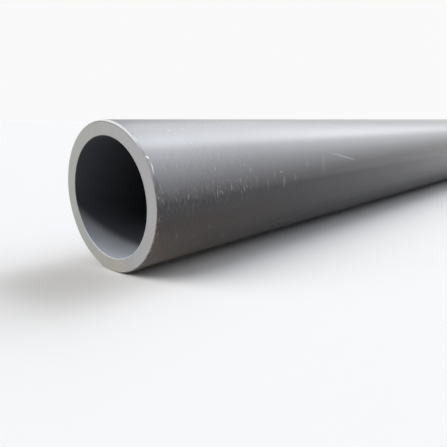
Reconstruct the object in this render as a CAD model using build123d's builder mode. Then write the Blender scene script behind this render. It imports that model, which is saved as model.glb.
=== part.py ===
"""One length of thick-walled grey PVC pressure pipe, nominal size 2 inch, with two plain saw-cut ends.

The pipe is one extruded piece. It lies along +X with its axis level, and the origin is the centre of the
cut end at x = 0. Both ends are cut square, and both edges of each end are broken with a deburring tool.
"""

import os

from build123d import *

# Driving dimensions, in millimetres
OUTER_DIAMETER = 60.32  # 2 3/8 inch, the outside that 2 inch fittings take
WALL = 5.87  # mean wall of the heavy series, from 5.54 minimum to 6.20
LENGTH = 1000.0  # a cut length that pipe dealers sell
OUTER_BEVEL = 0.4  # 45 degree break on the outside edge of each cut
INNER_BEVEL = 0.2  # 45 degree break on the bore's edge of each cut

# The cuts are square to the pipe's axis, +X
cut_plane = Plane.YZ
outer_radius = OUTER_DIAMETER / 2
bore_radius = outer_radius - WALL

# The wall is extruded through a ring-shaped die
with BuildPart() as pipe:
    with BuildSketch(cut_plane) as die_opening:
        Circle(outer_radius)
        Circle(bore_radius, mode=Mode.SUBTRACT)
    extrude(amount=LENGTH)

    # Each cut leaves two sharp rims, which are found by their radius
    rims = pipe.edges().filter_by(GeomType.CIRCLE).group_by(SortBy.RADIUS)
    bore_rims = rims[0]
    outside_rims = rims[-1]
    chamfer(outside_rims, OUTER_BEVEL)
    chamfer(bore_rims, INNER_BEVEL)

pipe.part.label = "pipe"

os.makedirs("parts", exist_ok=True)
export_step(pipe.part, "parts/pipe.step")
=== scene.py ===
"""A cut length of dark grey PVC pressure pipe, lying on a pale floor.

The pipe is one closed mesh. Geometry Nodes turn its wall section about the axis, run the saw's arcs over
both cuts, and wave and nick the broken edges. Three finishes dress it: the extruded outside, the bore and the
sawn ends. Lengths are in metres. An angle on the pipe is about its axis: 0 faces -Y, 90 degrees is the top.
"""

import logging
from dataclasses import dataclass, field, replace
from enum import Enum
from functools import partial, reduce
from math import cos, hypot, pi, radians, tan
from typing import Any, Iterable, Sequence

import bpy
import numpy as np
from mathutils import Matrix, Vector


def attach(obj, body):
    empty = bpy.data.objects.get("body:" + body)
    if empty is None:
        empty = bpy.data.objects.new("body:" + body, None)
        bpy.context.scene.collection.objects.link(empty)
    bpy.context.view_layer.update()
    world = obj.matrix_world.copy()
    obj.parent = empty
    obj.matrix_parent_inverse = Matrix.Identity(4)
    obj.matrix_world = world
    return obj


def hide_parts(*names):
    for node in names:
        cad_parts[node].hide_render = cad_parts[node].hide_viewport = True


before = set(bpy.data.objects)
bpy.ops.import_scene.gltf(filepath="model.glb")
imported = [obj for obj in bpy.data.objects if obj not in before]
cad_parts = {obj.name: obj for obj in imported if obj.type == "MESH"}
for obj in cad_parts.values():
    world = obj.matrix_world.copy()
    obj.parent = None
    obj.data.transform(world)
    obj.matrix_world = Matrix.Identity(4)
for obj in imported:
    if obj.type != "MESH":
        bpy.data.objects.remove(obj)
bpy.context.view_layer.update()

LOG = logging.getLogger("pipe")
MM = 0.001
DEGREE = radians(1)
PLASTIC_IOR = 1.54
# The centre of the saw's blade beside the pipe, as (y, z)
BLADE_CENTRE = (0.118, 0.150)

Colour = tuple[float, float, float]
# Places and the shares there, joined by straight lines
Stops = tuple[tuple[float, float], ...]
# Cells in a metre, the same on all axes or one number for each, then octaves of finer noise, and a seed
Grain = tuple[float | tuple[float, float, float], float, float]
# A base, then a weight for each thing that is added to it
Weights = tuple[float, ...]


class Zone(Enum):
    """The kinds of surface on the pipe, in the order of their material slots."""

    OUTSIDE = 0
    BORE = 1
    SAWN = 2


class End(Enum):
    """Which end of the pipe a point of the section belongs to, as the sign of the way into the pipe."""

    NEAR = 1
    FAR = -1


class Graph:
    """Adds nodes to one node tree and links them."""

    def __init__(self, tree: bpy.types.NodeTree) -> None:
        """Keeps the tree."""
        self.tree = tree

    def add(self, kind: str, inputs: dict[Any, Any] | None = None, **settings: Any) -> bpy.types.Node:
        """Adds one node.

        Args:
            kind: The node's type name.
            inputs: For each input's name or number, a socket to link or a value to set.
            settings: Properties of the node.

        Returns:
            The new node.
        """
        node = self.tree.nodes.new(kind)
        for name, value in settings.items():
            setattr(node, name, value)
        for name, value in (inputs or {}).items():
            self.feed(node.inputs[name], value)
        return node

    def feed(self, socket: bpy.types.NodeSocket, value: Any) -> None:
        """Links value to the socket if it is a socket, and otherwise sets it.

        Args:
            socket: The input.
            value: Another node's output, or a plain value.
        """
        if isinstance(value, bpy.types.NodeSocket):
            self.tree.links.new(value, socket)
        else:
            socket.default_value = value

    def math(self, operation: str, *values: Any) -> bpy.types.NodeSocket:
        """Returns the result of a Math node on the values."""
        return self.add("ShaderNodeMath", dict(enumerate(values)), operation=operation).outputs[0]

    def minus(self, first: Any, second: Any) -> bpy.types.NodeSocket:
        """Returns the first number less the second."""
        return self.math("SUBTRACT", first, second)

    def total(self, *values: Any) -> Any:
        """Returns the sum of the values."""
        return reduce(partial(self.math, "ADD"), values)

    def product(self, *values: Any) -> Any:
        """Returns the product of the values."""
        return reduce(partial(self.math, "MULTIPLY"), values)

    def weighted(self, weights: Weights, *parts: Any) -> Any:
        """Returns the first weight, plus each part times a weight of its own."""
        terms = [self.product(part, share) for part, share in zip(parts, weights[1:])]
        return self.total(*filter(None, weights[:1]), *terms)

    def vector(self, operation: str, *values: Any) -> bpy.types.NodeSocket:
        """Returns the vector that a Vector Math node makes of the values."""
        node = self.add("ShaderNodeVectorMath", dict(enumerate(values)), operation=operation)
        return node.outputs["Vector"]

    def length(self, value: Any) -> bpy.types.NodeSocket:
        """Returns the length of a vector."""
        return self.add("ShaderNodeVectorMath", {0: value}, operation="LENGTH").outputs["Value"]

    def combine(self, x: Any, y: Any, z: Any) -> bpy.types.NodeSocket:
        """Returns the vector of three numbers."""
        return self.add("ShaderNodeCombineXYZ", {0: x, 1: y, 2: z}).outputs[0]

    def split(self, value: Any) -> tuple[bpy.types.NodeSocket, ...]:
        """Returns the three numbers of a vector."""
        return tuple(self.add("ShaderNodeSeparateXYZ", {0: value}).outputs)

    def step(self, value: Any, low: float, high: float, start: float = 0.0, end: float = 1.0) -> Any:
        """Returns a smooth step.

        Args:
            value: The number that drives it.
            low: Where the step starts. It may be above high, and the step then falls.
            high: Where it ends.
            start: The result at low.
            end: The result at high.

        Returns:
            The stepped number.
        """
        if low > high:
            low, high, start, end = high, low, end, start
        inputs = {"Value": value, "From Min": low, "From Max": high, "To Min": start, "To Max": end}
        return self.add("ShaderNodeMapRange", inputs, interpolation_type="SMOOTHSTEP").outputs["Result"]

    def curve(self, value: Any, stops: Stops, unit: float) -> Any:
        """Returns the height of straight lines through the stops, which are level beyond the ends.

        Args:
            value: The number that drives it.
            stops: The places and the heights there.
            unit: What the places are measured in.

        Returns:
            The height.
        """
        parts: list[Any] = [stops[0][1]]
        for (low, start), (high, end) in zip(stops, stops[1:]):
            span = {"Value": value, "From Min": low * unit, "From Max": high * unit, "To Max": end - start}
            parts.append(self.add("ShaderNodeMapRange", span).outputs["Result"])
        return self.total(*parts)

    def window(self, value: Any, low: float, high: float, soft: float) -> Any:
        """Returns 1 where value is between low and high, fading to 0 over soft on both sides."""
        return self.product(self.step(value, low - soft, low), self.step(value, high + soft, high))

    def noise(self, place: Any, scale: float | Sequence[float], detail: float, seed: Any) -> Any:
        """Returns noise from 0 to 1.

        Args:
            place: The vector it is read at.
            scale: Cells in one unit of length, the same on all axes or one number for each.
            detail: Octaves of finer noise.
            seed: The fourth coordinate.

        Returns:
            The noise as a number.
        """
        if not isinstance(scale, float):
            place, scale = self.vector("MULTIPLY", place, scale), 1.0
        inputs = {"Vector": place, "W": seed, "Scale": scale, "Detail": detail}
        return self.add("ShaderNodeTexNoise", inputs, noise_dimensions="4D").outputs["Fac"]

    def blend(self, share: Any, first: Any, second: Any) -> bpy.types.NodeSocket:
        """Mixes two colours.

        Args:
            share: How much of the second there is.
            first: A colour or a socket.
            second: A colour or a socket.

        Returns:
            The mixed colour.
        """
        node = self.add("ShaderNodeMix", data_type="RGBA")
        sockets = {socket.identifier: socket for socket in node.inputs}
        for name, value in (("Factor_Float", share), ("A_Color", opaque(first)), ("B_Color", opaque(second))):
            self.feed(sockets[name], value)
        return {socket.identifier: socket for socket in node.outputs}["Result_Color"]

    def shade(self, colour: Any, factor: Any) -> bpy.types.NodeSocket:
        """Returns the colour times a number."""
        node = self.add("ShaderNodeVectorMath", {0: colour, "Scale": factor}, operation="SCALE")
        return node.outputs["Vector"]


def opaque(colour: Any) -> Any:
    """Returns a colour with an alpha of 1, or the socket that was given."""
    return colour if isinstance(colour, bpy.types.NodeSocket) else (*colour, 1.0)


@dataclass(frozen=True)
class SectionPoint:
    """A point of the wall section and how it takes part in what the tools and handling left.

    Attributes:
        x: Place along the axis.
        r: Distance from the axis.
        zone: The surface between this point and the next.
        end: The end that it belongs to.
        saw: How much of the saw's arcs it takes.
        break_x: How far it goes into the pipe as the outer broken edge widens, as a share.
        break_r: How far it goes towards the axis, as a share.
        mouth_x: How far it goes into the pipe as the bore's broken edge widens, as a share.
        lip: How much of the nicks and burrs it takes.
    """

    x: float
    r: float
    zone: Zone
    end: End
    saw: float = 0.0
    break_x: float = 0.0
    break_r: float = 0.0
    mouth_x: float = 0.0
    lip: float = 0.0


@dataclass(frozen=True)
class WallSection:
    """The closed outline of the pipe's wall, in the plane of the axis and a radius."""

    outer_radius: float = 30.16 * MM
    wall: float = 5.87 * MM
    length: float = 1.0
    outer_bevel: float = 0.4 * MM
    inner_bevel: float = 0.2 * MM
    edge_round: float = 0.08 * MM
    edge_fade: float = 1.6 * MM
    cut_rings: int = 26
    bevel_rings: int = 5
    first_ring: float = 0.16 * MM
    ring_growth: float = 1.42
    longest_ring: float = 60 * MM
    saw_on_edge: float = 0.5
    lip_on_cut: float = 0.15

    @property
    def bore_radius(self) -> float:
        """The radius of the bore."""
        return self.outer_radius - self.wall

    def away_from_cut(self) -> list[float]:
        """Spaces the rings, close together near an end and farther apart towards the middle.

        Returns:
            Their distances from the end's bevel.
        """
        places, step = [], self.first_ring
        place = step
        while place < self.length / 2 - self.longest_ring / 2:
            places.append(place)
            step = min(step * self.ring_growth, self.longest_ring)
            place += step
        return places

    def corner(self, before: Sequence[float], at: Sequence[float], after: Sequence[float]) -> list[Any]:
        """Returns three points that round a corner of the outline.

        Args:
            before: The corner before it, as (x, r).
            at: The corner.
            after: The corner after it.

        Returns:
            Where the arc starts, its middle and where it ends.
        """
        into = np.subtract(at, before) / np.linalg.norm(np.subtract(at, before))
        out = np.subtract(after, at) / np.linalg.norm(np.subtract(after, at))
        turn = np.arccos(np.clip(into @ out, -1, 1))
        reach = self.edge_round * tan(turn / 2)
        start, stop = np.array(at) - into * reach, np.array(at) + out * reach
        middle = (start + stop) / 4 + np.array(at) / 2
        return [tuple(start), tuple(middle), tuple(stop)]

    def end_points(self, end: End) -> list[SectionPoint]:
        """Lays out one end, from the bore's mouth over the cut to the outside.

        Args:
            end: Which end.

        Returns:
            Its points in order.
        """
        rb, ro, ib, ob = self.bore_radius, self.outer_radius, self.inner_bevel, self.outer_bevel
        # The first and the last only give the way that the bore and the outside run
        outline = [(ib * 4, rb), (ib, rb), (0.0, rb + ib), (0.0, ro - ob), (ob, ro), (ob * 4, ro)]
        corners = [self.corner(*outline[i - 1 : i + 2]) for i in range(1, 5)]
        points: list[SectionPoint] = []

        def add(place: Sequence[float], zone: Zone, **shares: float) -> None:
            """Adds the point at a distance from the cut and from the axis."""
            x = place[0] if end is End.NEAR else self.length - place[0]
            points.append(SectionPoint(x, place[1], zone, end, **shares))

        bore_edge, cut_in, cut_out, rim = corners
        for place in bore_edge:
            add(place, Zone.BORE, mouth_x=1.0)
        add(cut_in[0], Zone.BORE)
        for place in cut_in[1:]:
            add(place, Zone.SAWN, saw=self.saw_on_edge)
        for ring in range(1, self.cut_rings):
            share = ring / self.cut_rings
            place = np.add(np.multiply(cut_in[2], 1 - share), np.multiply(cut_out[0], share))
            add(place, Zone.SAWN, saw=1.0, break_r=share)
        for place in cut_out:
            add(place, Zone.SAWN, saw=self.saw_on_edge, break_r=1.0, lip=self.lip_on_cut)
        for ring in range(1, self.bevel_rings):
            share = ring / self.bevel_rings
            place = np.add(np.multiply(cut_out[2], 1 - share), np.multiply(rim[0], share))
            add(place, Zone.SAWN, break_x=share, break_r=1 - share, lip=share)
        for place in rim[:2]:
            add(place, Zone.SAWN, break_x=1.0, lip=1.0)
        add(rim[2], Zone.OUTSIDE, break_x=1.0, lip=1.0)
        return points

    def wall_rings(self, end: End, zone: Zone) -> list[SectionPoint]:
        """Lays out the rings of the outside or the bore, from one end's edge to near the middle.

        Args:
            end: Which end.
            zone: The outside or the bore.

        Returns:
            The rings' points in order.
        """
        outside = zone is Zone.OUTSIDE
        start, r = (self.outer_bevel, self.outer_radius) if outside else (self.inner_bevel, self.bore_radius)
        rings = []
        for away in self.away_from_cut():
            x = start + self.edge_round + away
            share = max(0.0, 1 - away / self.edge_fade)
            shares = {"break_x": share, "lip": share**2} if outside else {"mouth_x": share}
            rings.append(SectionPoint(x if end is End.NEAR else self.length - x, r, zone, end, **shares))
        return rings

    def parts(self) -> list[list[SectionPoint]]:
        """Lays out the whole outline.

        Returns:
            Five parts: half the bore, the near cut, the outside, the far cut and the other half of the bore.
        """
        middle = SectionPoint(self.length / 2, self.bore_radius, Zone.BORE, End.NEAR)
        near, far = self.end_points(End.NEAR), self.end_points(End.FAR)[::-1]
        # A point names the surface after it, so the far cut's names move up one place as its order is turned
        zones = [after.zone for after in far[1:]] + [Zone.BORE]
        far = [replace(point, zone=zone) for point, zone in zip(far, zones)]
        return [
            [middle] + self.wall_rings(End.NEAR, Zone.BORE)[::-1],
            near,
            self.wall_rings(End.NEAR, Zone.OUTSIDE) + self.wall_rings(End.FAR, Zone.OUTSIDE)[::-1],
            far,
            self.wall_rings(End.FAR, Zone.BORE) + [middle],
        ]

    def points(self) -> list[SectionPoint]:
        """Returns the whole outline, from the middle of the bore round both ends and back."""
        return [point for part in self.parts() for point in part]

    def run(self) -> np.ndarray:
        """Returns how far along the outline each point lies."""
        pairs = zip(self.points(), self.points()[1:])
        return np.cumsum([0.0] + [hypot(after.x - point.x, after.r - point.r) for point, after in pairs])


def new_material(name: str, colour: Colour) -> tuple[bpy.types.Material, Graph, bpy.types.Node]:
    """Makes a material with one Principled shader.

    Args:
        name: The material's name.
        colour: The plain colour shown in the viewport.

    Returns:
        The material, its graph and the shader.
    """
    material = bpy.data.materials.new(name)
    material.use_nodes = True
    material.diffuse_color = opaque(colour)
    material.node_tree.nodes.clear()
    graph = Graph(material.node_tree)
    shader = graph.add("ShaderNodeBsdfPrincipled")
    graph.add("ShaderNodeOutputMaterial", {"Surface": shader.outputs[0]})
    return material, graph, shader


class Coat(Graph):
    """One surface's material in the making, with the shading point's place on the pipe."""

    def __init__(self, name: str, colour: Colour, radius: float) -> None:
        """Makes the material and reads the place from Object coordinates.

        Args:
            name: The material's name.
            colour: The plain colour shown in the viewport.
            radius: The radius that the wall is unrolled at.
        """
        self.material, graph, self.shader = new_material(name, colour)
        super().__init__(graph.tree)
        self.radius = radius
        self.position = self.add("ShaderNodeTexCoord").outputs["Object"]
        self.x, self.y, self.z = self.split(self.position)
        self.angle = self.math("ARCTAN2", self.z, self.product(self.y, -1.0))
        self.r = self.length(self.combine(0.0, self.y, self.z))
        # Along the axis and round the wall
        self.unrolled = self.combine(self.x, self.product(self.angle, radius), 0.0)

    def grain(self, grain: Grain) -> Any:
        """Returns noise read at the shading point."""
        return self.noise(self.position, *grain)

    def finish(self, colour: Any, rough: Any, height: Any, relief: Sequence[float]) -> bpy.types.Material:
        """Gives the plastic its colour, roughness and relief.

        Args:
            colour: The colour.
            rough: The roughness.
            height: The relief's height, from 0 to about 1.
            relief: The relief's strength, and its depth in metres.

        Returns:
            The finished material.
        """
        bump = self.add("ShaderNodeBump", {"Strength": relief[0], "Distance": relief[1], "Height": height})
        made = {"Base Color": colour, "Roughness": rough, "Normal": bump.outputs[0], "IOR": PLASTIC_IOR}
        for name, value in made.items():
            self.feed(self.shader.inputs[name], value)
        return self.material


@dataclass(frozen=True)
class Scratch:
    """One long scratch or fleck on the outside.

    Attributes:
        start: Where it starts: millimetres from the near end, and degrees round the pipe.
        stop: Where it stops.
        width: Its width in millimetres.
        strength: How much it shows, from 0 to 1.
    """

    start: tuple[float, float]
    stop: tuple[float, float]
    width: float
    strength: float


# How far out from its middle a scratch is at full strength, as a share
SCRATCH_CORE = 0.35

SCRATCHES = tuple(Scratch(*row) for row in (
    ((25, 46), (25.5, 39.5), 0.9, 0.5), ((22.4, 47), (21.6, 43.5), 0.8, 0.25),
    ((27.4, 43.5), (27.8, 40), 0.8, 0.25), ((17.6, 59), (22, 60.5), 1.8, 0.5),
    ((26, 60.5), (32, 60), 1.2, 0.4), ((36.3, 79), (37.4, 70.5), 1.2, 0.3),
    ((40.4, 70), (43.3, 63.5), 1.8, 0.5), ((70, 70), (78, 75), 2.0, 0.22),
    ((12.7, 30), (13.1, 22.5), 0.7, 0.7), ((7, 31), (9.5, 29.6), 0.6, 0.5),
    ((15.2, 6.5), (15.4, 1.5), 0.9, 0.7), ((19.2, 4.5), (19.8, 1), 1.2, 0.35),
    ((31.5, 7.5), (31.2, -1.5), 0.8, 0.95), ((32.8, 5.5), (33.2, 3), 1.6, 0.7),
    ((34, 5), (34.4, 1), 0.9, 0.95), ((36.8, 12.6), (38.6, 11.8), 0.8, 0.5),
    ((39.9, 9.5), (39.6, 2.5), 0.65, 1.0), ((41.5, 11.5), (44.5, 9.5), 0.7, 0.45),
    ((46, 13.2), (45.4, 7.6), 0.8, 1.0), ((46.2, 3.5), (46, -1), 0.7, 0.8),
    ((48.1, 5.5), (48.2, 0), 0.7, 0.9), ((49.6, 6), (50, 3.4), 0.9, 0.7),
    ((51.2, 4), (53, 3.2), 0.7, 0.5), ((32.6, 24.5), (31.8, 19.5), 0.8, 0.5),
    ((53.8, 19.8), (53.1, 15.5), 1.5, 0.7), ((50, 24), (50.6, 21), 1.0, 0.35),
    ((57, 15), (56.6, 3), 2.6, 0.18), ((64.6, 10.5), (65, -3), 2.2, 0.24),
    ((70.5, 17), (70, 6), 3.0, 0.18), ((74.2, 12), (77.4, 13.6), 1.6, 0.45),
    ((77.4, 10.5), (77.2, -3.5), 3.2, 0.36), ((86.9, 11), (86.5, 2), 2.8, 0.24),
    ((99, 22), (98, 10), 4.0, 0.14), ((4, 28.4), (4.9, 25.4), 1.3, 0.5),
    ((2.6, 33), (3.6, 30), 0.7, 0.5), ((6.4, 28.6), (6.8, 22), 0.9, 0.4),
    ((2.7, 16.7), (2.5, 10.7), 0.8, 0.6), ((3, 12), (3.4, 8), 1.0, 0.35),
    ((10.4, -20), (12, -29), 1.4, 0.16), ((19.5, -26), (23.2, -32), 2.2, 0.08),
    ((27, -20), (30.5, -26), 2.2, 0.08), ((38, -33), (43.5, -42), 2.6, 0.08),
    ((120, 26.5), (154, 12.2), 1.4, 0.8), ((116, 26), (112, 4), 6.0, 0.15),
))

# Torn plastic that stands pale on the near rim, partly painted glints where the burrs catch the light
TORN_AND_GLINTS = tuple(Scratch(*row) for row in (
    ((0.8, 36.6), (1.5, 33.8), 1.1, 0.95), ((1.9, 32.6), (1, 21.5), 0.65, 1.0),
    ((0.9, 8.2), (1.1, 5.8), 0.8, 0.45), ((1.1, -3.6), (0.9, -12), 0.5, 0.22),
    ((0.9, -14.5), (1.5, -23), 0.5, 0.25), ((0.8, 58), (1, 46), 0.6, 0.5),
))


def scratch_mask(coat: Coat, scratches: Iterable[Scratch]) -> Any:
    """Returns a mask of the scratches, each a long ellipse on the unrolled wall.

    Args:
        coat: The material in the making.
        scratches: What to draw.

    Returns:
        A number that is 0 off the scratches.
    """
    x, y, _ = coat.split(coat.unrolled)
    both_x, both_y = coat.combine(x, x, 0.0), coat.combine(y, y, 0.0)
    mask: Any = 0.0
    for mark in scratches:
        (x0, a0), (x1, a1) = mark.start, mark.stop
        start = Vector((x0 * MM, a0 * DEGREE * coat.radius))
        stop = Vector((x1 * MM, a1 * DEGREE * coat.radius))
        middle, half = (start + stop) / 2, (stop - start) / 2
        along = half / half.length_squared
        across = Vector((-half.y, half.x)).normalized() / (mark.width * MM / 2)
        # The wall seen along and across the scratch, in units of its half length and half width
        shift = (-along.dot(middle), -across.dot(middle), 0.0)
        local = coat.vector("MULTIPLY_ADD", both_x, (along.x, across.x, 0.0), shift)
        local = coat.vector("MULTIPLY_ADD", both_y, (along.y, across.y, 0.0), local)
        one = coat.step(coat.length(local), 1.0, SCRATCH_CORE, 0.0, mark.strength)
        mask = coat.math("MAXIMUM", mask, one)
    return mask


@dataclass(frozen=True)
class Ticks:
    """Short scratches that run round the wall, one in each cell and each a little different.

    Attributes:
        cell: The cells' size along the axis and round the wall.
        size: A scratch's width and length.
        seed: Where on an endless field of scratches the wall lies, in cells.
        lean: How far they may lean.
        shortest: The shortest one's length, as a share.
        varied: How much longer the longest one is.
        core: How far out from its middle one is at full strength.
        contrast: The power that leaves few of them strong.
    """

    cell: tuple[float, float]
    size: tuple[float, float]
    seed: float
    lean: float = 0.5
    shortest: float = 0.4
    varied: float = 1.2
    core: float = 0.3
    contrast: float = 1.6

    def mask(self, coat: Coat) -> Any:
        """Draws the scratches.

        Args:
            coat: The material in the making.

        Returns:
            A number that is 0 off the scratches.
        """
        along, round_wall, _ = coat.split(coat.unrolled)
        column = coat.math("MULTIPLY_ADD", along, 1 / self.cell[0], self.seed)
        cell = coat.combine(column, coat.product(round_wall, 1 / self.cell[1]), 0.0)
        inputs = {"Vector": cell, "Scale": 1.0}
        nearest = coat.add("ShaderNodeTexVoronoi", inputs, voronoi_dimensions="2D").outputs
        off_x, off_y, _ = coat.split(coat.vector("SUBTRACT", cell, nearest["Position"]))
        lean, size, strength = coat.split(nearest["Color"])
        tilted = coat.total(off_x, coat.product(coat.minus(lean, 0.5), off_y, self.lean))
        longer = coat.math("MULTIPLY_ADD", size, self.varied, self.shortest)
        across = coat.product(tilted, 2 * self.cell[0] / self.size[0])
        down = coat.math("DIVIDE", coat.product(off_y, 2 * self.cell[1] / self.size[1]), longer)
        shape = coat.step(coat.length(coat.combine(across, down, 0.0)), 1.0, self.core)
        return coat.product(shape, coat.math("POWER", strength, self.contrast))


@dataclass(frozen=True)
class Reach:
    """How far wear or dirt reaches from the near end and round the pipe.

    Attributes:
        along: The shares at distances from the near end, in millimetres.
        around: The shares at angles in degrees, joined by straight lines.
        fade: Two angles in degrees, between which the share rises smoothly instead.
        patches: Two levels of the mottling, and the shares at them.
    """

    along: Stops
    around: Stops = ()
    fade: tuple[float, ...] = ()
    patches: tuple[float, ...] = ()

    def mask(self, coat: Coat, mottle: Any = None) -> Any:
        """Works out the share at the shading point.

        Args:
            coat: The material in the making.
            mottle: The mottling that breaks it up.

        Returns:
            The share.
        """
        shares = [coat.curve(coat.x, self.along, MM)]
        if self.around:
            shares.append(coat.curve(coat.angle, self.around, DEGREE))
        if self.fade:
            shares.append(coat.step(coat.angle, *(turn * DEGREE for turn in self.fade)))
        if self.patches:
            shares.append(coat.step(mottle, *self.patches))
        return coat.product(*shares)


@dataclass(frozen=True)
class ExtrudedSkin:
    """The outside: glossy extruded plastic, rubbed, scuffed and a little dirty near the end in the photo."""

    name: str = "extruded_outside"
    radius: float = WallSection.outer_radius
    grey: Colour = (0.082, 0.080, 0.088)
    scuff: Colour = (0.50, 0.50, 0.53)
    # The brown is a painted warm reflection of the floor on the lower side
    brown: Colour = (0.084, 0.070, 0.064)
    # Pale torn plastic, partly painted glints on the burrs
    torn: Colour = (0.88, 0.88, 0.90)
    # Rubbed pale haze, partly a painted highlight
    haze: Colour = (0.46, 0.47, 0.49)
    # Pale brown dust, partly painted bounce light from the floor
    soil: Colour = (0.360, 0.310, 0.268)
    dust: Colour = (0.090, 0.074, 0.060)
    fleck: Colour = (0.40, 0.34, 0.27)

    lines: Grain = ((1.5, 330.0, 330.0), 3.0, 1.0)
    fine_lines: Grain = ((6.0, 1500.0, 1500.0), 2.0, 2.0)
    mottling: Grain = (38.0, 4.0, 3.0)
    brushing: Grain = ((850.0, 420.0, 420.0), 2.0, 5.0)
    rim_breaks: Grain = (900.0, 2.0, 7.0)
    rim_flecks: Grain = (1100.0, 2.0, 8.0)
    short: Ticks = Ticks((1.6 * MM, 2.4 * MM), (0.8 * MM, 2.2 * MM), 0.0)
    long: Ticks = Ticks((3.1 * MM, 4.5 * MM), (0.9 * MM, 4.0 * MM), 17.3)

    # What the lines, the fine lines and the mottling add to the tone
    tone: Weights = (0.86, 0.08, 0.06, 0.18)
    # What rubbing, scouring, the lines, the marks and the grime add to the roughness
    rough: Weights = (0.16, 0.06, 0.2, 0.04, 0.2, 0.3)
    # What the lines, the fine lines and the marks add to the height
    height: Weights = (0.0, 0.45, 0.10, 0.5)
    relief: tuple[float, float] = (0.3, 0.0001)
    # What short, long and brushed scuffs add to the marks
    scuffing: Weights = (0.0, 0.30, 0.24, 0.40)
    marks_cover: float = 0.7
    mirror: float = 0.5
    # Where rubbing fades out and where it is full, and two levels of the mottling with the shares at them
    rubbed_along: tuple[float, float] = (150 * MM, 10 * MM)
    rubbed_patches: tuple[float, ...] = (0.3, 0.62, 0.45, 1.0)

    # Where the fine scuffs are
    scuffed: Reach = Reach(
        along=((1, 0.8), (8, 0.9), (44, 0.9), (56, 0.3), (90, 0.0)),
        around=((-50, 0.10), (-12, 0.12), (-4, 0.3), (4, 1.0), (14, 0.6), (20, 0.42), (27, 0.45), (34, 0.28),
                (44, 0.12), (60, 0.06), (100, 0.0)),
        patches=(0.32, 0.58, 0.35, 1.0),
    )
    # Rubbed pale, high on the side that faces the camera, and partly a painted highlight there
    hazed: Reach = Reach(
        along=((0, 1.0), (12, 0.85), (30, 0.4), (60, 0.0)),
        around=((8, 0.0), (34, 0.22), (47, 0.32), (58, 0.0)),
        patches=(0.25, 0.7, 0.8, 1.0),
    )
    # Brown dust low down near the end, which also stands in as painted bounce light from the floor
    soiled_and_bounce_lit: Reach = Reach(
        along=((0, 1.0), (30, 0.6), (90, 0.0)),
        around=((-150, 0.0), (-100, 1.0), (-52, 1.0), (-43, 0.42), (-36, 0.24), (-28, 0.12), (-16, 0.02),
                (3, 0.0)),
        patches=(0.25, 0.7, 0.7, 1.0),
    )
    # A brown tint of the lower side: a painted warm reflection of the floor
    stain_and_warm_reflection: Reach = Reach(along=((25, 1.0), (60, 0.7), (110, 0.0)), fade=(2, -18))
    # A film of dirt that takes from the mirror on the lower side
    dimmed: Reach = Reach(
        along=((0, 0.27), (110, 0.26), (220, 0.24), (420, 0.0)),
        around=((-70, 0.0), (-34, 0.3), (-16, 1.0), (1, 1.0), (5, 0.0)),
    )
    # Rubbed dull along the top
    scoured: Reach = Reach(along=((0, 1.0), (20, 0.8), (75, 0.0)), fade=(60, 80))

    def material(self) -> bpy.types.Material:
        """Builds the material.

        Returns:
            The finished material.
        """
        coat = Coat(self.name, self.grey, self.radius)
        lines = coat.grain(self.lines)
        fine_lines = coat.grain(self.fine_lines)
        mottle = coat.grain(self.mottling)
        rubbed = coat.product(coat.step(coat.x, *self.rubbed_along), coat.step(mottle, *self.rubbed_patches))
        scratched = scratch_mask(coat, SCRATCHES)
        marks = coat.math("MAXIMUM", scratched, self.scuffs(coat, mottle))

        tone = coat.weighted(self.tone, lines, fine_lines, mottle)
        # The lower side's brown tint is a painted warm reflection
        colour = coat.shade(coat.blend(self.stain_and_warm_reflection.mask(coat), self.grey, self.brown), tone)
        # The pale haze near the end is partly a painted highlight
        colour = coat.blend(self.hazed.mask(coat, mottle), colour, self.haze)
        # The pale brown low down is partly painted bounce light
        colour = coat.blend(self.soiled_and_bounce_lit.mask(coat, mottle), colour, self.soil)
        colour = coat.blend(coat.product(marks, self.marks_cover), colour, self.scuff)
        grime = self.rim_grime(coat)
        flecks = coat.step(coat.grain(self.rim_flecks), 0.56, 0.66)
        colour = coat.blend(grime, colour, coat.blend(flecks, self.dust, self.fleck))
        # Torn pale plastic on the rim, partly painted glints
        colour = coat.blend(scratch_mask(coat, TORN_AND_GLINTS), colour, self.torn)

        rough = coat.weighted(self.rough, rubbed, self.scoured.mask(coat), lines, marks, grime)
        mirror = coat.minus(self.mirror, self.dimmed.mask(coat))
        coat.feed(coat.shader.inputs["Specular IOR Level"], mirror)
        height = coat.weighted(self.height, lines, fine_lines, marks)
        return coat.finish(colour, rough, height, self.relief)

    def scuffs(self, coat: Coat, mottle: Any) -> Any:
        """Draws the many fine marks that run round the wall near the near end.

        Args:
            coat: The material in the making.
            mottle: Broad noise that breaks them up.

        Returns:
            A number that is 0 off the marks.
        """
        where = self.scuffed.mask(coat, mottle)
        short, long = self.short.mask(coat), self.long.mask(coat)
        brushed = coat.step(coat.grain(self.brushing), 0.45, 0.75)
        return coat.product(where, coat.weighted(self.scuffing, short, long, brushed))

    def rim_grime(self, coat: Coat) -> Any:
        """Draws the broken line of dirt along the near rim.

        Args:
            coat: The material in the making.

        Returns:
            A number that is 0 off the dirt.
        """
        strip = coat.window(coat.x, 0.0, 1.6 * MM, 0.9 * MM)
        side = coat.window(coat.angle, -75 * DEGREE, 14 * DEGREE, 9 * DEGREE)
        broken = coat.step(coat.grain(self.rim_breaks), 0.36, 0.58)
        return coat.product(strip, side, broken, 0.8)


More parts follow.
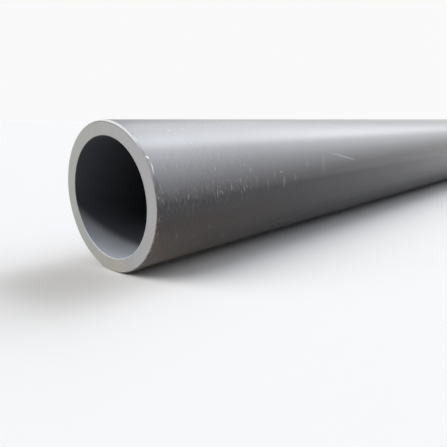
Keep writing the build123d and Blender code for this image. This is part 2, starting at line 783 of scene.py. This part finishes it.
@dataclass(frozen=True)
class BoreSkin:
    """The bore: the same plastic, unpolished, with painted light near the mouth.

    Attributes:
        painted_light_reach: How far in the painted pool of light lies along its lowest line.
        painted_light_turn: The angle that turns a sine so that its peak is at that line, in degrees.
        painted_light_edge: How far inside and outside its edge the painted pool of light fades, in metres.
        painted_light_along: How strong the painted light is, by millimetres from the near end.
        painted_mouth_light: How much painted light there is all round.
    """

    name: str = "extruded_bore"
    radius: float = WallSection.outer_radius - WallSection.wall
    grey: Colour = (0.075, 0.078, 0.090)
    # A pale colour that paints the light falling through the mouth onto the bottom
    dust: Colour = (0.595, 0.625, 0.70)
    lines: Grain = ((1.2, 300.0, 300.0), 3.0, 11.0)
    clouds: Grain = (90.0, 3.0, 12.0)
    # What the lines and the clouds add to the tone, and the clouds to the roughness
    tone: Weights = (0.86, 0.16, 0.12)
    rough: Weights = (0.29, 0.1)
    relief: tuple[float, float] = (0.3, 0.00015)
    painted_light_reach: float = 20 * MM
    painted_light_turn: float = 163
    painted_light_edge: tuple[float, float] = (-4.5 * MM, 4 * MM)
    painted_light_along: Stops = ((0, 1.0), (9, 0.6), (20, 0.36))
    painted_mouth_light: Stops = ((0, 0.09), (5, 0.06), (14, 0.03), (30, 0.0))
    painted_light_patches: tuple[float, ...] = (0.15, 0.55, 0.88, 1.0)

    def material(self) -> bpy.types.Material:
        """Builds the material.

        Returns:
            The finished material.
        """
        coat = Coat(self.name, self.grey, self.radius)
        lines = coat.grain(self.lines)
        cloud = coat.grain(self.clouds)
        tone = coat.weighted(self.tone, lines, cloud)
        # Painted light along the bottom, just inside the near cut, where light falls in through the mouth; it
        # reaches farther in the lower it lies
        low = coat.math("SINE", coat.total(coat.angle, self.painted_light_turn * DEGREE))
        inside = coat.minus(coat.product(low, self.painted_light_reach), coat.x)
        painted_light_pool = coat.product(
            coat.step(inside, *self.painted_light_edge),
            coat.curve(coat.x, self.painted_light_along, MM),
            coat.step(cloud, *self.painted_light_patches),
        )
        painted_light_pool = coat.math("MAXIMUM", painted_light_pool, coat.curve(coat.x, self.painted_mouth_light, MM))
        colour = coat.blend(painted_light_pool, coat.shade(self.grey, tone), self.dust)
        return coat.finish(colour, coat.weighted(self.rough, cloud), lines, self.relief)


@dataclass(frozen=True)
class RimMark:
    """A place on the near rim, by its angle in degrees.

    Attributes:
        angle: Its middle.
        half_width: Half its width.
        size: How far the broken edge widens there, or how high a burr stands, in metres.
        soft: How far its ends fade out, in degrees.
    """

    angle: float
    half_width: float
    size: float
    soft: float

    def span(self) -> tuple[float, float]:
        """Returns how far from its middle the mark ends, and how far it is whole, as angles."""
        return (self.half_width + self.soft) * DEGREE, self.half_width * DEGREE


TOP_SCRAPE = RimMark(68.0, 10.0, 0.36 * MM, 24.0)


@dataclass(frozen=True)
class SawnFace:
    """The cut faces and their broken edges: dull, pale plastic with the saw's fine arcs."""

    name: str = "sawn_end"
    section: WallSection = field(default_factory=WallSection)
    face: Colour = (0.414, 0.408, 0.418)
    face_behind: Colour = (0.392, 0.400, 0.380)
    stain: Colour = (0.465, 0.425, 0.345)
    # The scraped colour is partly a painted highlight
    scraped: Colour = (0.78, 0.79, 0.81)
    # A painted highlight on the bore's edge of the cut
    inner_edge_highlight: Colour = (0.50, 0.515, 0.54)
    shadow: Colour = (0.16, 0.165, 0.165)
    dirt: Colour = (0.115, 0.105, 0.090)

    pitch: float = 0.9 * MM
    wander: float = 9.0
    arc_wander: Grain = (60.0, 2.0, 21.0)
    arc_breaks: Grain = (160.0, 2.0, 22.0)
    graining: Grain = (2400.0, 2.0, 23.0)
    clouds: Grain = (110.0, 3.0, 24.0)
    ragged_rim: Grain = (260.0, 2.0, 25.0)
    rim_flecks: Grain = (1300.0, 2.0, 26.0)
    # What the arcs, the grain and the clouds add to the tone
    tone: Weights = (0.84, 0.07, 0.13, 0.19)
    # What the broken edges, the grain and the grime add to the roughness
    rough: Weights = (0.62, -0.22, 0.1, 0.2)
    # What the arcs, the grain and the clouds add to the height
    height: Weights = (0.0, 0.5, 0.4, 0.3)
    relief: tuple[float, float] = (0.4, 0.00006)

    def material(self) -> bpy.types.Material:
        """Builds the material.

        Returns:
            The finished material.
        """
        section = self.section
        coat = Coat(self.name, self.face, section.outer_radius)
        warped = coat.grain(self.arc_wander)
        y, z = (coat.minus(at, centre) for at, centre in zip((coat.y, coat.z), BLADE_CENTRE))
        far = coat.length(coat.combine(0.0, y, z))
        turns = coat.product(far, 2 * pi / self.pitch)
        wave = coat.math("SINE", coat.total(turns, coat.product(warped, self.wander)))
        arcs = coat.product(wave, coat.step(coat.grain(self.arc_breaks), 0.3, 0.7))
        grain = coat.grain(self.graining)
        cloud = coat.grain(self.clouds)

        # Greener on the side away from the camera, and stained along the bottom
        side = coat.step(coat.y, -18 * MM, 14 * MM)
        tone = coat.weighted(self.tone, arcs, grain, cloud)
        colour = coat.shade(coat.blend(side, self.face, self.face_behind), tone)
        low = coat.window(coat.angle, -104 * DEGREE, -78 * DEGREE, 14 * DEGREE)
        stain_and_warm_reflection = coat.product(low, coat.step(cloud, 0.3, 0.6, 0.3, 1.0), 0.5)
        colour = coat.blend(stain_and_warm_reflection, colour, self.stain)

        # A painted highlight along the bore's edge of the cut face
        mouth = section.bore_radius + section.inner_bevel
        inner = coat.step(coat.r, mouth + 0.1 * MM, mouth - 0.08 * MM)
        colour = coat.blend(inner, colour, self.inner_edge_highlight)
        colour, grime = self.outer_edge(coat, colour, grain)
        edges = coat.math("MAXIMUM", inner, self.on_outer_bevel(coat))
        rough = coat.weighted(self.rough, edges, grain, grime)
        return coat.finish(colour, rough, coat.weighted(self.height, arcs, grain, cloud), self.relief)

    def on_outer_bevel(self, coat: Coat) -> Any:
        """Finds the outer broken edge, which is the part that lies behind the cut.

        Args:
            coat: The material in the making.

        Returns:
            1 on the edge, and 0 elsewhere.
        """
        behind = coat.math("MINIMUM", coat.x, coat.minus(self.section.length, coat.x))
        middle = self.section.outer_radius - self.section.wall / 2
        outer = coat.step(coat.r, middle, middle + 1 * MM)
        return coat.product(coat.step(behind, 0.05 * MM, 0.13 * MM), outer)

    def outer_edge(self, coat: Coat, colour: Any, grain: Any) -> tuple[Any, Any]:
        """Colours the outer broken edge: pale scrape and painted highlight on top, dirt on the camera's side.

        Args:
            coat: The material in the making.
            colour: The colour so far.
            grain: The fine grain.

        Returns:
            The new colour, and a mask of the dirt.
        """
        near = coat.step(coat.x, 40 * MM, 30 * MM)
        bevel = self.on_outer_bevel(coat)
        ragged = coat.total(coat.angle, coat.product(coat.grain(self.ragged_rim), 0.35))
        top = coat.product(near, coat.window(ragged, 60 * DEGREE, 108 * DEGREE, 10 * DEGREE))
        # The pale scraped top is partly a painted highlight
        pale = coat.blend(coat.step(grain, 0.35, 0.65, 0.75, 1.0), colour, self.scraped)
        colour = coat.blend(coat.product(bevel, top), colour, pale)

        # A dark line of painted shade inside the pale edge
        seam = self.section.outer_radius - self.section.outer_bevel - 0.12 * MM
        away = coat.math("ABSOLUTE", coat.minus(coat.angle, TOP_SCRAPE.angle * DEGREE))
        wider = coat.step(away, *TOP_SCRAPE.span())
        out = coat.minus(coat.r, coat.math("MULTIPLY_ADD", wider, -TOP_SCRAPE.size, seam))
        line = coat.product(coat.window(out, -0.05 * MM, 0.05 * MM, 0.16 * MM), top)
        colour = coat.blend(coat.product(line, 0.8), colour, self.shadow)

        side = coat.product(near, coat.window(ragged, -75 * DEGREE, 22 * DEGREE, 8 * DEGREE))
        flecks = coat.step(coat.grain(self.rim_flecks), 0.50, 0.62)
        grime = coat.product(bevel, side, coat.minus(1.0, coat.product(flecks, 0.75)))
        return coat.blend(coat.product(grime, 0.92), colour, self.dirt), grime


@dataclass
class Pipe:
    """The pipe: one turned wall and its finishes."""

    section: WallSection = field(default_factory=WallSection)
    segments: int = 560
    seed: int = 5
    map_size: int = 1024
    saw_depth: float = 0.05 * MM
    saw_pitch: float = 2.1 * MM
    weld: float = 0.001 * MM
    end_shift: float = 3.7
    bevel_waver: float = 0.10 * MM
    nick_depth: float = 0.14 * MM
    # Noise on a circle that stands for the rim: its scale, its octaves and how far off the circle lies
    wavers: tuple[float, float, float] = (3.0, 4.0, 0.0)
    nicks: tuple[float, float, float] = (26.0, 2.0, 5.0)
    tears: tuple[float, float, float] = (70.0, 2.0, 9.0)
    # Noise on the cut faces: its scale and its octaves
    arc_wander: tuple[float, float] = (45.0, 2.0)
    arc_breaks: tuple[float, float] = (320.0, 2.0)
    arc_swing: float = 5.0
    # How much of the nicks' depth the small tears have, and how much of the waver the bore's edge has
    tear_share: float = 0.25
    mouth_share: float = 0.5
    # What the arcs and their breaks add to the ridges, and how far the ridges are lifted
    ridges: Weights = (0.0, 0.3, 0.5)
    ridge_lift: float = 0.3
    scrapes: tuple[RimMark, ...] = (
        TOP_SCRAPE,
        RimMark(150.0, 34.0, -0.22 * MM, 14.0),
        RimMark(2.0, 8.0, -0.12 * MM, 8.0),
        RimMark(-28.0, 7.0, 0.10 * MM, 8.0),
    )
    burrs: tuple[RimMark, ...] = (
        RimMark(26.6, 5.2, 0.13 * MM, 2.6),
        RimMark(34.4, 0.9, 0.26 * MM, 0.5),
        RimMark(7.5, 1.2, 0.12 * MM, 0.6),
        RimMark(-31.0, 3.5, 0.09 * MM, 1.8),
    )
    skin: ExtrudedSkin = field(default_factory=ExtrudedSkin)
    bore: BoreSkin = field(default_factory=BoreSkin)
    sawn: SawnFace = field(default_factory=SawnFace)

    def outline(self) -> bpy.types.Object:
        """Lays out the section's outline.

        Returns:
            An object whose vertices are its points in order, with what each takes part in.
        """
        points = self.section.points()
        mesh = bpy.data.meshes.new("pipe_outline")
        mesh.from_pydata([(point.x, point.r, 0.0) for point in points], [], [])
        columns = {
            "zone": [float(point.zone.value) for point in points],
            "inward": [float(point.end.value) for point in points],
            "run": list(self.section.run()),
        }
        for share in ("saw", "break_x", "break_r", "mouth_x", "lip"):
            columns[share] = [getattr(point, share) for point in points]
        for name, values in columns.items():
            mesh.attributes.new(name, "FLOAT", "POINT").data.foreach_set("value", values)
        piece = bpy.data.objects.new("pipe_wall", mesh)
        bpy.context.scene.collection.objects.link(piece)
        return piece

    def tree(self, rings: int) -> tuple[bpy.types.GeometryNodeTree, dict[str, str]]:
        """Builds the node tree that turns the outline about the axis.

        Args:
            rings: How many points the outline has.

        Returns:
            The tree, and each input's identifier by its name.
        """
        tree = bpy.data.node_groups.new("turned_wall", "GeometryNodeTree")
        face = tree.interface
        face.new_socket("Geometry", in_out="INPUT", socket_type="NodeSocketGeometry")
        kinds = {"Segments": "NodeSocketInt"}
        sizes = ("Saw Depth", "Saw Pitch", "Bevel Waver", "Nick Depth", "Seed")
        kinds |= dict.fromkeys(sizes, "NodeSocketFloat")
        kinds |= dict.fromkeys(("Outside", "Bore", "Sawn"), "NodeSocketMaterial")
        keys = {}
        for name, kind in kinds.items():
            keys[name] = face.new_socket(name, in_out="INPUT", socket_type=kind).identifier
        face.new_socket("Geometry", in_out="OUTPUT", socket_type="NodeSocketGeometry")
        graph = Graph(tree)
        given = graph.add("NodeGroupInput").outputs

        columns = graph.total(given["Segments"], 1)
        grid = graph.add("GeometryNodeMeshGrid", {"Vertices X": columns, "Vertices Y": rings})
        index = graph.add("GeometryNodeInputIndex").outputs[0]
        column = graph.math("FLOOR", graph.math("DIVIDE", graph.total(index, 0.5), rings))
        turn = graph.math("DIVIDE", column, given["Segments"])
        ring = graph.math("FLOORED_MODULO", index, rings)

        def sample(value: Any, at: Any, kind: str = "FLOAT") -> Any:
            """Returns a value of the outline's point with the number at."""
            inputs = {"Geometry": given["Geometry"], "Value": value, "Index": at}
            return graph.add("GeometryNodeSampleIndex", inputs, data_type=kind, domain="POINT").outputs[0]

        def read(name: str, at: Any) -> Any:
            """Returns a named number of the outline's point with the number at."""
            named = graph.add("GeometryNodeInputNamedAttribute", {"Name": name}, data_type="FLOAT")
            return sample(named.outputs[0], at)

        position = graph.add("GeometryNodeInputPosition").outputs[0]
        x, r, _ = graph.split(sample(position, ring, "FLOAT_VECTOR"))
        inward = read("inward", ring)
        angle = graph.product(graph.minus(turn, 0.5), 2 * pi)
        ahead, up = graph.product(graph.math("COSINE", angle), -1.0), graph.math("SINE", angle)

        # Each end has its own noise, read on a circle so that it closes
        cut = graph.total(graph.product(inward, self.end_shift), given["Seed"])

        def round_noise(scale: float, detail: float, shift: float) -> Any:
            """Returns noise that runs round the rim."""
            return graph.noise(graph.combine(shift, ahead, up), scale, detail, cut)

        waver = graph.product(graph.minus(round_noise(*self.wavers), 0.5), given["Bevel Waver"], 2.0)
        nicks = graph.product(graph.step(round_noise(*self.nicks), 0.60, 0.80), given["Nick Depth"])
        torn = graph.product(round_noise(*self.tears), given["Nick Depth"], self.tear_share)
        near = graph.math("GREATER_THAN", inward, 0.0)

        def shift_at(mark: RimMark) -> Any:
            """Returns how far the mark moves the rim, by how far round from it a point is, the short way."""
            away = graph.math("WRAP", graph.minus(angle, mark.angle * DEGREE), pi, -pi)
            return graph.product(graph.step(graph.math("ABSOLUTE", away), *mark.span()), mark.size)

        def rim_marks(marks: Iterable[RimMark]) -> Any:
            """Returns how far all the marks move the near rim."""
            return graph.product(graph.total(0.0, *map(shift_at, marks)), near)

        standing, scraped = rim_marks(self.burrs), rim_marks(self.scrapes)
        broken = graph.total(waver, scraped)
        width = graph.total(graph.math("DIVIDE", broken, self.section.outer_bevel), 1.0)
        bitten = graph.product(graph.total(nicks, torn), graph.math("MINIMUM", width, 1.0))
        lip = graph.product(read("lip", ring), graph.minus(standing, bitten))

        flat = graph.combine(0.0, graph.product(ahead, r), graph.product(up, r))
        blade = graph.length(graph.vector("SUBTRACT", flat, (0.0, *BLADE_CENTRE)))
        wander = graph.product(graph.noise(flat, *self.arc_wander, cut), self.arc_swing)
        arcs = graph.math("DIVIDE", graph.product(blade, 2 * pi), given["Saw Pitch"])
        wave = graph.math("SINE", graph.total(arcs, wander))
        ridge = graph.weighted(self.ridges, wave, graph.noise(flat, *self.arc_breaks, cut))
        ridge = graph.total(ridge, self.ridge_lift)
        sawn = graph.product(graph.math("MAXIMUM", ridge, 0.0), read("saw", ring), given["Saw Depth"])

        edge = graph.product(broken, read("break_x", ring))
        mouth = graph.product(waver, read("mouth_x", ring), self.mouth_share)
        deeper = graph.total(sawn, edge, mouth)
        moved_x = graph.total(x, graph.product(inward, deeper))
        moved_r = graph.total(r, graph.product(broken, read("break_r", ring), -1.0), lip)
        place = graph.combine(moved_x, graph.product(ahead, moved_r), graph.product(up, moved_r))
        shaped = graph.add("GeometryNodeSetPosition", {"Geometry": grid.outputs["Mesh"], "Position": place})

        store = partial(graph.add, "GeometryNodeStoreNamedAttribute")
        inputs = {"Value": graph.combine(turn, read("run", ring), 0.0)}
        unrolled = graph.add("GeometryNodeFieldOnDomain", inputs, data_type="FLOAT_VECTOR", domain="POINT")
        inputs = {"Geometry": shaped.outputs[0], "Name": "Unrolled", "Value": unrolled.outputs[0]}
        mapped = store(inputs, data_type="FLOAT2", domain="CORNER")
        side = graph.math("FLOORED_MODULO", index, rings - 1)
        inputs = {"Geometry": mapped.outputs[0], "Name": "zone", "Value": read("zone", side)}
        zoned = store(inputs, data_type="FLOAT", domain="FACE")
        inputs = {"Geometry": zoned.outputs[0], "Distance": self.weld}
        merged = graph.add("GeometryNodeMergeByDistance", inputs)
        inputs = {"Geometry": merged.outputs[0], "Shade Smooth": True}
        smooth = graph.add("GeometryNodeSetShadeSmooth", inputs)
        outward = graph.add("GeometryNodeFlipFaces", {"Mesh": smooth.outputs[0]})
        result = graph.add("GeometryNodeRealizeInstances", {"Geometry": outward.outputs[0]}).outputs[0]
        zone = graph.add("GeometryNodeInputNamedAttribute", {"Name": "zone"}, data_type="FLOAT").outputs[0]
        for kind, name in ((Zone.OUTSIDE, "Outside"), (Zone.BORE, "Bore"), (Zone.SAWN, "Sawn")):
            chosen = graph.math("COMPARE", zone, float(kind.value), 0.1)
            inputs = {"Geometry": result, "Selection": chosen, "Material": given[name]}
            result = graph.add("GeometryNodeSetMaterial", inputs).outputs[0]
        graph.add("NodeGroupOutput", {"Geometry": result})
        return tree, keys

    def lay_out_map(self, mesh: bpy.types.Mesh) -> None:
        """Gives the wall its own map for baking, in which the near end has most of the room.

        The outside and the bore lie unrolled, and each cut is a ring.

        Args:
            mesh: The turned wall, with the Unrolled map.
        """
        run = self.section.run()
        bore, near, outside, far, _ = (len(part) for part in self.section.parts())
        near_start, near_stop = bore, bore + near - 1
        far_start = near_stop + 1 + outside
        far_stop = far_start + far - 1

        corners = len(mesh.loops)
        given = np.empty(corners * 2, np.float32)
        mesh.uv_layers["Unrolled"].uv.foreach_get("vector", given)
        turn, along = given[0::2].astype(float), given[1::2].astype(float)
        sides = np.empty(len(mesh.polygons), np.int32)
        mesh.polygons.foreach_get("loop_total", sides)
        face = np.repeat(np.arange(len(sides)), sides)
        middle = (np.bincount(face, along) / sides)[face]

        def flat(across: Sequence[float], stops: dict[float, float]) -> tuple[np.ndarray, np.ndarray]:
            """Returns a stretch laid flat, with u running across and v through the stops."""
            down = np.interp(along, list(stops), list(stops.values()))
            return across[0] + turn * (across[1] - across[0]), down

        def ring(centre: Sequence[float], ends: Sequence[float], radii: Sequence[float], way: int) -> Any:
            """Returns a cut laid down as a ring."""
            out, round_axis = np.interp(along, ends, radii), turn * 2 * pi
            return centre[0] + out * np.cos(round_axis), centre[1] + out * np.sin(round_axis) * way

        # All places on the map are in its pixels
        start, stop, mouth = run[near_stop], run[far_start], run[near_start]
        skin = {start: 8, start + 60 * MM: 308, start + 200 * MM: 688, stop: 1016}
        layout = (
            (near_stop, far_start, flat((752, 8), skin)),
            (0, near_start, flat((764, 1012), {0.0: 860, mouth - 40 * MM: 640, mouth: 520})),
            (far_stop, len(run) - 1, flat((1012, 764), {run[far_stop]: 872, run[-1]: 1016})),
            (near_start, near_stop, ring((888, 132), (mouth, start), (64, 122), 1)),
            (far_start, far_stop, ring((888, 388), (stop, run[far_stop]), (122, 64), -1)),
        )
        u, v = np.zeros(corners), np.zeros(corners)
        for low, high, (across, down) in layout:
            chosen = (middle > run[low]) & (middle < run[high])
            u[chosen], v[chosen] = across[chosen], down[chosen]

        baked = mesh.uv_layers.new(name="OFBake", do_init=False)
        baked.uv.foreach_set("vector", (np.stack([u, v], 1) / self.map_size).astype(np.float32).ravel())
        mesh.uv_layers.remove(mesh.uv_layers["Unrolled"])
        mesh.uv_layers.active = mesh.uv_layers["OFBake"]

    def build(self) -> bpy.types.Object:
        """Turns the outline, dresses the wall and makes it a plain mesh.

        Returns:
            The finished wall.
        """
        piece = self.outline()
        tree, keys = self.tree(len(piece.data.vertices))
        turned = piece.modifiers.new("turned_wall", "NODES")
        turned.node_group = tree
        values = {
            "Segments": self.segments, "Saw Depth": self.saw_depth, "Saw Pitch": self.saw_pitch,
            "Bevel Waver": self.bevel_waver, "Nick Depth": self.nick_depth, "Seed": float(self.seed),
            "Outside": self.skin.material(), "Bore": self.bore.material(), "Sawn": self.sawn.material(),
        }
        for name, value in values.items():
            turned[keys[name]] = value
        mesh = bpy.data.meshes.new_from_object(piece.evaluated_get(bpy.context.evaluated_depsgraph_get()))
        piece.modifiers.remove(turned)
        if mesh.materials[0] is None:  # the grid comes with an empty slot
            mesh.materials.pop(index=0)
        outline, piece.data = piece.data, mesh
        bpy.data.meshes.remove(outline)
        mesh.name = piece.name
        self.lay_out_map(mesh)
        return piece

    def place(self, piece: bpy.types.Object) -> None:
        """Puts the wall in the CAD pipe's place.

        Args:
            piece: The wall.
        """
        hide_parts("pipe")
        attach(piece, "root")


@dataclass(frozen=True)
class Studio:
    """The floor, the light and the camera."""

    floor_height: float = -WallSection.outer_radius
    floor_size: float = 60.0
    floor_colour: Colour = (0.80, 0.796, 0.788)
    floor_bounce: Colour = (0.45, 0.44, 0.42)
    floor_rough: float = 0.9
    floor_mirror: float = 0.1
    # How white the surroundings are where the camera looks straight at them
    backdrop: float = 0.95
    eye: tuple[float, float, float] = (-0.099745, -0.152857, 0.030206)
    forward: tuple[float, float, float] = (0.709405, 0.647497, -0.278374)
    right: tuple[float, float, float] = (0.674144, -0.738600, 0.0)
    lens: float = 36.345
    sensor: float = 36.0
    clip: tuple[float, float] = (0.005, 200.0)
    shift_y: float = 0.0593
    bank_colour: Colour = (0.945, 0.975, 1.04)
    lamp_colour: Colour = (1.0, 0.995, 0.985)
    # The bank's strength at angles round the pipe's axis: 0 is level on the camera's side, and 90 overhead
    bank: Stops = (
        (0, 1.5), (8, 3.0), (15, 3.6), (26, 4.9), (40, 6.3), (53, 7.8), (66, 8.9), (77, 9.5), (83, 12.1),
        (93, 12.3), (99, 10.3), (106, 8.9), (112, 7.4), (118, 6.3), (125, 5.2), (137, 3.7), (150, 2.3),
        (165, 1.2),
    )
    bank_from: tuple[float, float] = (0.46, 0.60)
    bank_narrowing: float = 1.35
    lamp: float = 5.0
    lamp_from: tuple[float, float, float] = (-0.66, 0.36, 0.66)
    lamp_half_angle: float = 20.0
    lamp_soft: float = 10.0

    def floor(self) -> bpy.types.Object:
        """Builds the floor, which is pale where it is seen and throws less light on the pipe.

        Returns:
            The floor.
        """
        half = self.floor_size / 2
        corners = [(x * half, y * half, self.floor_height) for x, y in ((-1, -1), (1, -1), (1, 1), (-1, 1))]
        mesh = bpy.data.meshes.new("floor")
        mesh.from_pydata(corners, [], [(0, 1, 2, 3)])
        floor = bpy.data.objects.new("floor", mesh)
        bpy.context.scene.collection.objects.link(floor)
        material, graph, shader = new_material("pale_floor", self.floor_colour)
        path = graph.add("ShaderNodeLightPath").outputs
        seen = graph.total(path["Is Camera Ray"], path["Is Glossy Ray"], path["Is Transmission Ray"])
        graph.feed(shader.inputs["Base Color"], graph.blend(seen, self.floor_bounce, self.floor_colour))
        shader.inputs["Roughness"].default_value = self.floor_rough
        shader.inputs["Specular IOR Level"].default_value = self.floor_mirror
        mesh.materials.append(material)
        return floor

    def sky(self) -> bpy.types.World:
        """Builds the light: a tall graded bank beyond the far end, and a soft lamp behind the near end.

        Whatever is seen, mirrored or seen through something is white, and the bank and the lamp come on top
        of that, except where the camera looks straight at them.

        Returns:
            The world.
        """
        world = bpy.data.worlds.new("studio")
        bpy.context.scene.world = world
        world.use_nodes = True
        world.node_tree.nodes.clear()
        graph = Graph(world.node_tree)
        ray = graph.add("ShaderNodeTexCoord").outputs["Generated"]
        x, y, z = graph.split(ray)
        turned = graph.math("ARCTAN2", z, graph.product(y, -1.0))
        off_axis = graph.math("POWER", graph.length(graph.combine(0.0, y, z)), self.bank_narrowing)
        bank = graph.product(graph.curve(turned, self.bank, DEGREE), off_axis)
        bank = graph.math("MAXIMUM", graph.minus(bank, 1.0), 0.0)
        bank = graph.product(bank, graph.step(x, *self.bank_from))
        lamp = graph.product(self.lamp_lobe(graph, ray), self.lamp)

        path = graph.add("ShaderNodeLightPath").outputs
        unseen = graph.minus(1.0, path["Is Camera Ray"])
        backdrop = graph.product(path["Is Camera Ray"], self.backdrop)
        seen = graph.total(backdrop, path["Is Glossy Ray"], path["Is Transmission Ray"])
        white = {"Strength": graph.math("MINIMUM", seen, 1.0), "Color": (1.0,) * 4}
        light = graph.add("ShaderNodeBackground", white)
        for strength, colour in ((bank, self.bank_colour), (lamp, self.lamp_colour)):
            inputs = {"Strength": graph.product(strength, unseen), "Color": opaque(colour)}
            more = graph.add("ShaderNodeBackground", inputs)
            light = graph.add("ShaderNodeAddShader", {0: light.outputs[0], 1: more.outputs[0]})
        graph.add("ShaderNodeOutputWorld", {"Surface": light.outputs[0]})
        return world

    def lamp_lobe(self, graph: Graph, ray: Any) -> Any:
        """Draws the lamp, a soft round light in the sky.

        Args:
            graph: The world's graph.
            ray: The direction that is looked in.

        Returns:
            A number from 0 to 1.
        """
        inputs = {0: ray, 1: Vector(self.lamp_from).normalized()}
        dot = graph.add("ShaderNodeVectorMath", inputs, operation="DOT_PRODUCT").outputs["Value"]
        edge = (self.lamp_half_angle + self.lamp_soft) * DEGREE
        return graph.step(dot, cos(edge), cos(self.lamp_half_angle * DEGREE))

    def camera(self) -> bpy.types.Object:
        """Builds the camera at the photograph's angle.

        Returns:
            The camera.
        """
        ahead, right = Vector(self.forward).normalized(), Vector(self.right).normalized()
        up = right.cross(ahead)
        data = bpy.data.cameras.new("camera")
        data.lens, data.sensor_width, data.shift_y = self.lens, self.sensor, self.shift_y
        data.clip_start, data.clip_end = self.clip
        camera = bpy.data.objects.new("camera", data)
        camera.matrix_world = Matrix.Translation(self.eye) @ Matrix((right, up, -ahead)).transposed().to_4x4()
        bpy.context.scene.collection.objects.link(camera)
        bpy.context.scene.camera = camera
        return camera

    def build(self) -> None:
        """Builds the floor, the light and the camera, and sets the plain view transform."""
        self.floor()
        self.sky()
        self.camera()
        bpy.context.scene.view_settings.view_transform = "Standard"


def report(piece: bpy.types.Object) -> None:
    """Logs a finished piece's faces and size.

    Args:
        piece: The finished piece.
    """
    corners = np.array([vertex.co for vertex in piece.data.vertices])
    size = (corners.max(0) - corners.min(0)) / MM
    triangles = sum(len(face.vertices) - 2 for face in piece.data.polygons)
    LOG.info("%s: %d triangles, %.2f x %.2f x %.2f mm", piece.name, triangles, *size)


def main() -> None:
    """Builds the pipe and the studio."""
    logging.basicConfig(level=logging.INFO, format="%(name)s: %(message)s")
    pipe = Pipe()
    wall = pipe.build()
    pipe.place(wall)
    report(wall)
    Studio().build()


if __name__ == "__main__":
    main()
